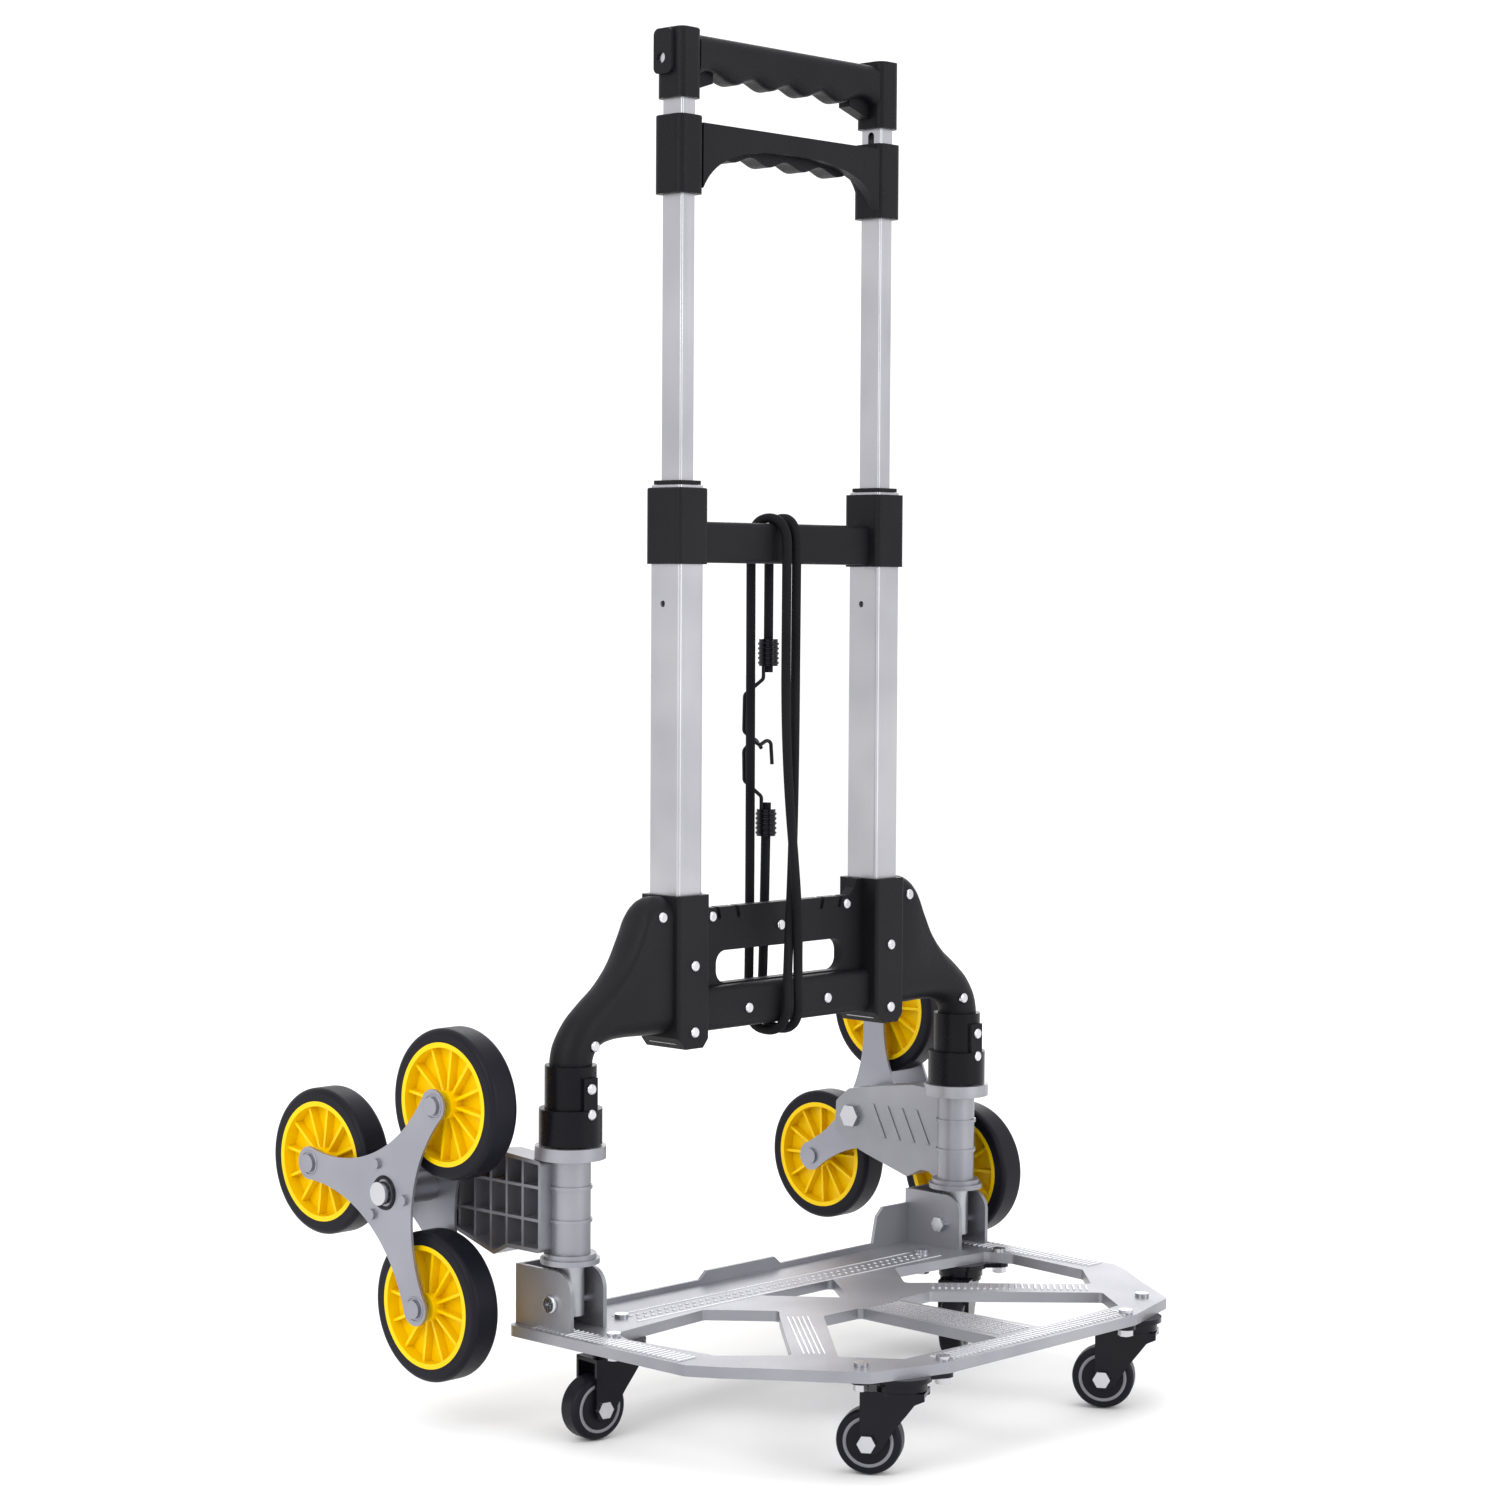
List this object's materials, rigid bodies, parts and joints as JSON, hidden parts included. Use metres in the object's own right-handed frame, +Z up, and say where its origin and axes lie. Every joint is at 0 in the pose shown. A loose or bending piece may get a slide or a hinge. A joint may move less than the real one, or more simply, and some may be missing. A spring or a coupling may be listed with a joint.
{
  "type": "stair climbing trolley",
  "caption": "Folding hand trolley with telescopic handle, cast openwork platform on swivel casters and tri-star stair wheel clusters on swinging arms.",
  "frame": {"origin": "on the floor under the middle of the object's box", "axes": "+Z up, the platform toward -Y, the stair wheels toward +Y, X across the trolley"},
  "size_m": [0.49, 0.4291, 0.836],
  "materials": {
    "rail_aluminium": "satin drawn aluminium",
    "cast_aluminium": "silver painted casting",
    "plate_aluminium": "silver painted sheet",
    "rivet_aluminium": "pressed rivet",
    "black_plastic": "fine moulded grain",
    "handle_plastic": "fine moulded grain",
    "collar_plastic": "semi gloss",
    "yellow_plastic": "semi gloss",
    "tyre_rubber": "smooth foam rubber",
    "caster_tyre": "smooth",
    "caster_steel": "black lacquer",
    "rivet_chrome": "domed rivet",
    "screw_steel": "zinc plated",
    "hook_steel": "black coated wire",
    "elastic_cord": "braided sheath"
  },
  "bodies": {
    "frame": {"outer_rail_left": "rail_aluminium", "outer_rail_right": "rail_aluminium", "rail_liners": "black_plastic", "mid_crossbar": "black_plastic", "centre_bracket": "black_plastic", "side_arm_left": "black_plastic", "side_arm_right": "black_plastic", "frame_rivets": "rivet_chrome", "post_left": "rail_aluminium", "post_right": "rail_aluminium", "post_collars": "collar_plastic", "bungee_cord": "elastic_cord", "bungee_hooks": "hook_steel"},
    "middle_stage": {"middle_tubes": "rail_aluminium", "middle_caps": "black_plastic"},
    "inner_stage": {"inner_tubes": "rail_aluminium", "lock_blocks": "black_plastic", "upper_handle": "handle_plastic", "handle_screws": "screw_steel"},
    "release_grip": {"lower_handle": "handle_plastic", "pull_rods": "screw_steel"},
    "platform": {"platform": "cast_aluminium", "pivot_bolts": "screw_steel", "caster_screws": "screw_steel", "caster_plates": "caster_steel"},
    "caster_front_left": {"caster_fork_front_left": "caster_steel", "caster_axle_front_left": "screw_steel"},
    "roller_front_left": {"caster_wheel_front_left": "caster_tyre"},
    "caster_front_right": {"caster_fork_front_right": "caster_steel", "caster_axle_front_right": "screw_steel"},
    "roller_front_right": {"caster_wheel_front_right": "caster_tyre"},
    "caster_rear_left": {"caster_fork_rear_left": "caster_steel", "caster_axle_rear_left": "screw_steel"},
    "roller_rear_left": {"caster_wheel_rear_left": "caster_tyre"},
    "caster_rear_right": {"caster_fork_rear_right": "caster_steel", "caster_axle_rear_right": "screw_steel"},
    "roller_rear_right": {"caster_wheel_rear_right": "caster_tyre"},
    "wheel_arm_left": {"wheel_arm_left": "cast_aluminium", "axle_bolt_left": "screw_steel"},
    "cluster_left": {"cluster_plates_left": "plate_aluminium", "cluster_pins_left": "rivet_aluminium"},
    "stair_wheel_left_1": {"stair_hub_left_1": "yellow_plastic", "stair_tyre_left_1": "tyre_rubber"},
    "stair_wheel_left_2": {"stair_hub_left_2": "yellow_plastic", "stair_tyre_left_2": "tyre_rubber"},
    "stair_wheel_left_3": {"stair_hub_left_3": "yellow_plastic", "stair_tyre_left_3": "tyre_rubber"},
    "wheel_arm_right": {"wheel_arm_right": "cast_aluminium", "axle_bolt_right": "screw_steel"},
    "cluster_right": {"cluster_plates_right": "plate_aluminium", "cluster_pins_right": "rivet_aluminium"},
    "stair_wheel_right_1": {"stair_hub_right_1": "yellow_plastic", "stair_tyre_right_1": "tyre_rubber"},
    "stair_wheel_right_2": {"stair_hub_right_2": "yellow_plastic", "stair_tyre_right_2": "tyre_rubber"},
    "stair_wheel_right_3": {"stair_hub_right_3": "yellow_plastic", "stair_tyre_right_3": "tyre_rubber"}
  },
  "joints": [
    {"name": "middle_stage_slide", "type": "slide", "parent": "frame", "child": "middle_stage", "axis": [0, 0, 1], "range_m": [0, 0.22]},
    {"name": "inner_stage_slide", "type": "slide", "parent": "middle_stage", "child": "inner_stage", "axis": [0, 0, 1], "range_m": [-0.17, 0]},
    {"name": "release_grip_slide", "type": "slide", "parent": "inner_stage", "child": "release_grip", "axis": [0, 0, 1], "range_m": [0, 0.009], "stiffness_N_per_m": 600, "springref_m": -0.01},
    {"name": "platform_fold", "type": "hinge", "parent": "frame", "child": "platform", "pos_m": [0, 0.0036, 0.079], "axis": [-1, 0, 0], "range_deg": [0, 82]},
    {"name": "caster_front_left_swivel", "type": "hinge", "parent": "platform", "child": "caster_front_left", "pos_m": [-0.1083, -0.1969, 0.05], "axis": [0, 0, 1], "continuous": true},
    {"name": "caster_front_left_roll", "type": "hinge", "parent": "caster_front_left", "child": "roller_front_left", "pos_m": [-0.11762, -0.1815, 0.019], "axis": [-0.8554, -0.518, 0], "continuous": true},
    {"name": "caster_front_right_swivel", "type": "hinge", "parent": "platform", "child": "caster_front_right", "pos_m": [0.1083, -0.1969, 0.05], "axis": [0, 0, 1], "continuous": true},
    {"name": "caster_front_right_roll", "type": "hinge", "parent": "caster_front_right", "child": "roller_front_right", "pos_m": [0.09898, -0.1815, 0.019], "axis": [-0.8554, -0.518, 0], "continuous": true},
    {"name": "caster_rear_left_swivel", "type": "hinge", "parent": "platform", "child": "caster_rear_left", "pos_m": [-0.158, -0.0174, 0.05], "axis": [0, 0, 1], "continuous": true},
    {"name": "caster_rear_left_roll", "type": "hinge", "parent": "caster_rear_left", "child": "roller_rear_left", "pos_m": [-0.17583, -0.0149, 0.019], "axis": [-0.1392, -0.9903, 0], "continuous": true},
    {"name": "caster_rear_right_swivel", "type": "hinge", "parent": "platform", "child": "caster_rear_right", "pos_m": [0.158, -0.0174, 0.05], "axis": [0, 0, 1], "continuous": true},
    {"name": "caster_rear_right_roll", "type": "hinge", "parent": "caster_rear_right", "child": "roller_rear_right", "pos_m": [0.14211, -0.02585, 0.019], "axis": [0.4695, -0.8829, 0], "continuous": true},
    {"name": "wheel_arm_left_swivel", "type": "hinge", "parent": "frame", "child": "wheel_arm_left", "pos_m": [-0.177, 0.0036, 0.137], "axis": [0, 0, 1], "range_deg": [-80, 0]},
    {"name": "cluster_left_spin", "type": "hinge", "parent": "wheel_arm_left", "child": "cluster_left", "pos_m": [-0.222, 0.0986, 0.139], "axis": [1, 0, 0], "continuous": true},
    {"name": "stair_wheel_left_1_spin", "type": "hinge", "parent": "cluster_left", "child": "stair_wheel_left_1", "pos_m": [-0.222, 0.1695, 0.14821], "axis": [1, 0, 0], "continuous": true},
    {"name": "stair_wheel_left_2_spin", "type": "hinge", "parent": "cluster_left", "child": "stair_wheel_left_2", "pos_m": [-0.222, 0.07112, 0.07299], "axis": [1, 0, 0], "continuous": true},
    {"name": "stair_wheel_left_3_spin", "type": "hinge", "parent": "cluster_left", "child": "stair_wheel_left_3", "pos_m": [-0.222, 0.05517, 0.1958], "axis": [1, 0, 0], "continuous": true},
    {"name": "wheel_arm_right_swivel", "type": "hinge", "parent": "frame", "child": "wheel_arm_right", "pos_m": [0.177, 0.0036, 0.137], "axis": [0, 0, 1], "range_deg": [0, 80]},
    {"name": "cluster_right_spin", "type": "hinge", "parent": "wheel_arm_right", "child": "cluster_right", "pos_m": [0.222, 0.0986, 0.139], "axis": [1, 0, 0], "continuous": true},
    {"name": "stair_wheel_right_1_spin", "type": "hinge", "parent": "cluster_right", "child": "stair_wheel_right_1", "pos_m": [0.222, 0.15904, 0.10079], "axis": [1, 0, 0], "continuous": true},
    {"name": "stair_wheel_right_2_spin", "type": "hinge", "parent": "cluster_right", "child": "stair_wheel_right_2", "pos_m": [0.222, 0.10147, 0.21044], "axis": [1, 0, 0], "continuous": true},
    {"name": "stair_wheel_right_3_spin", "type": "hinge", "parent": "cluster_right", "child": "stair_wheel_right_3", "pos_m": [0.222, 0.03529, 0.10576], "axis": [1, 0, 0], "continuous": true}
  ]
}
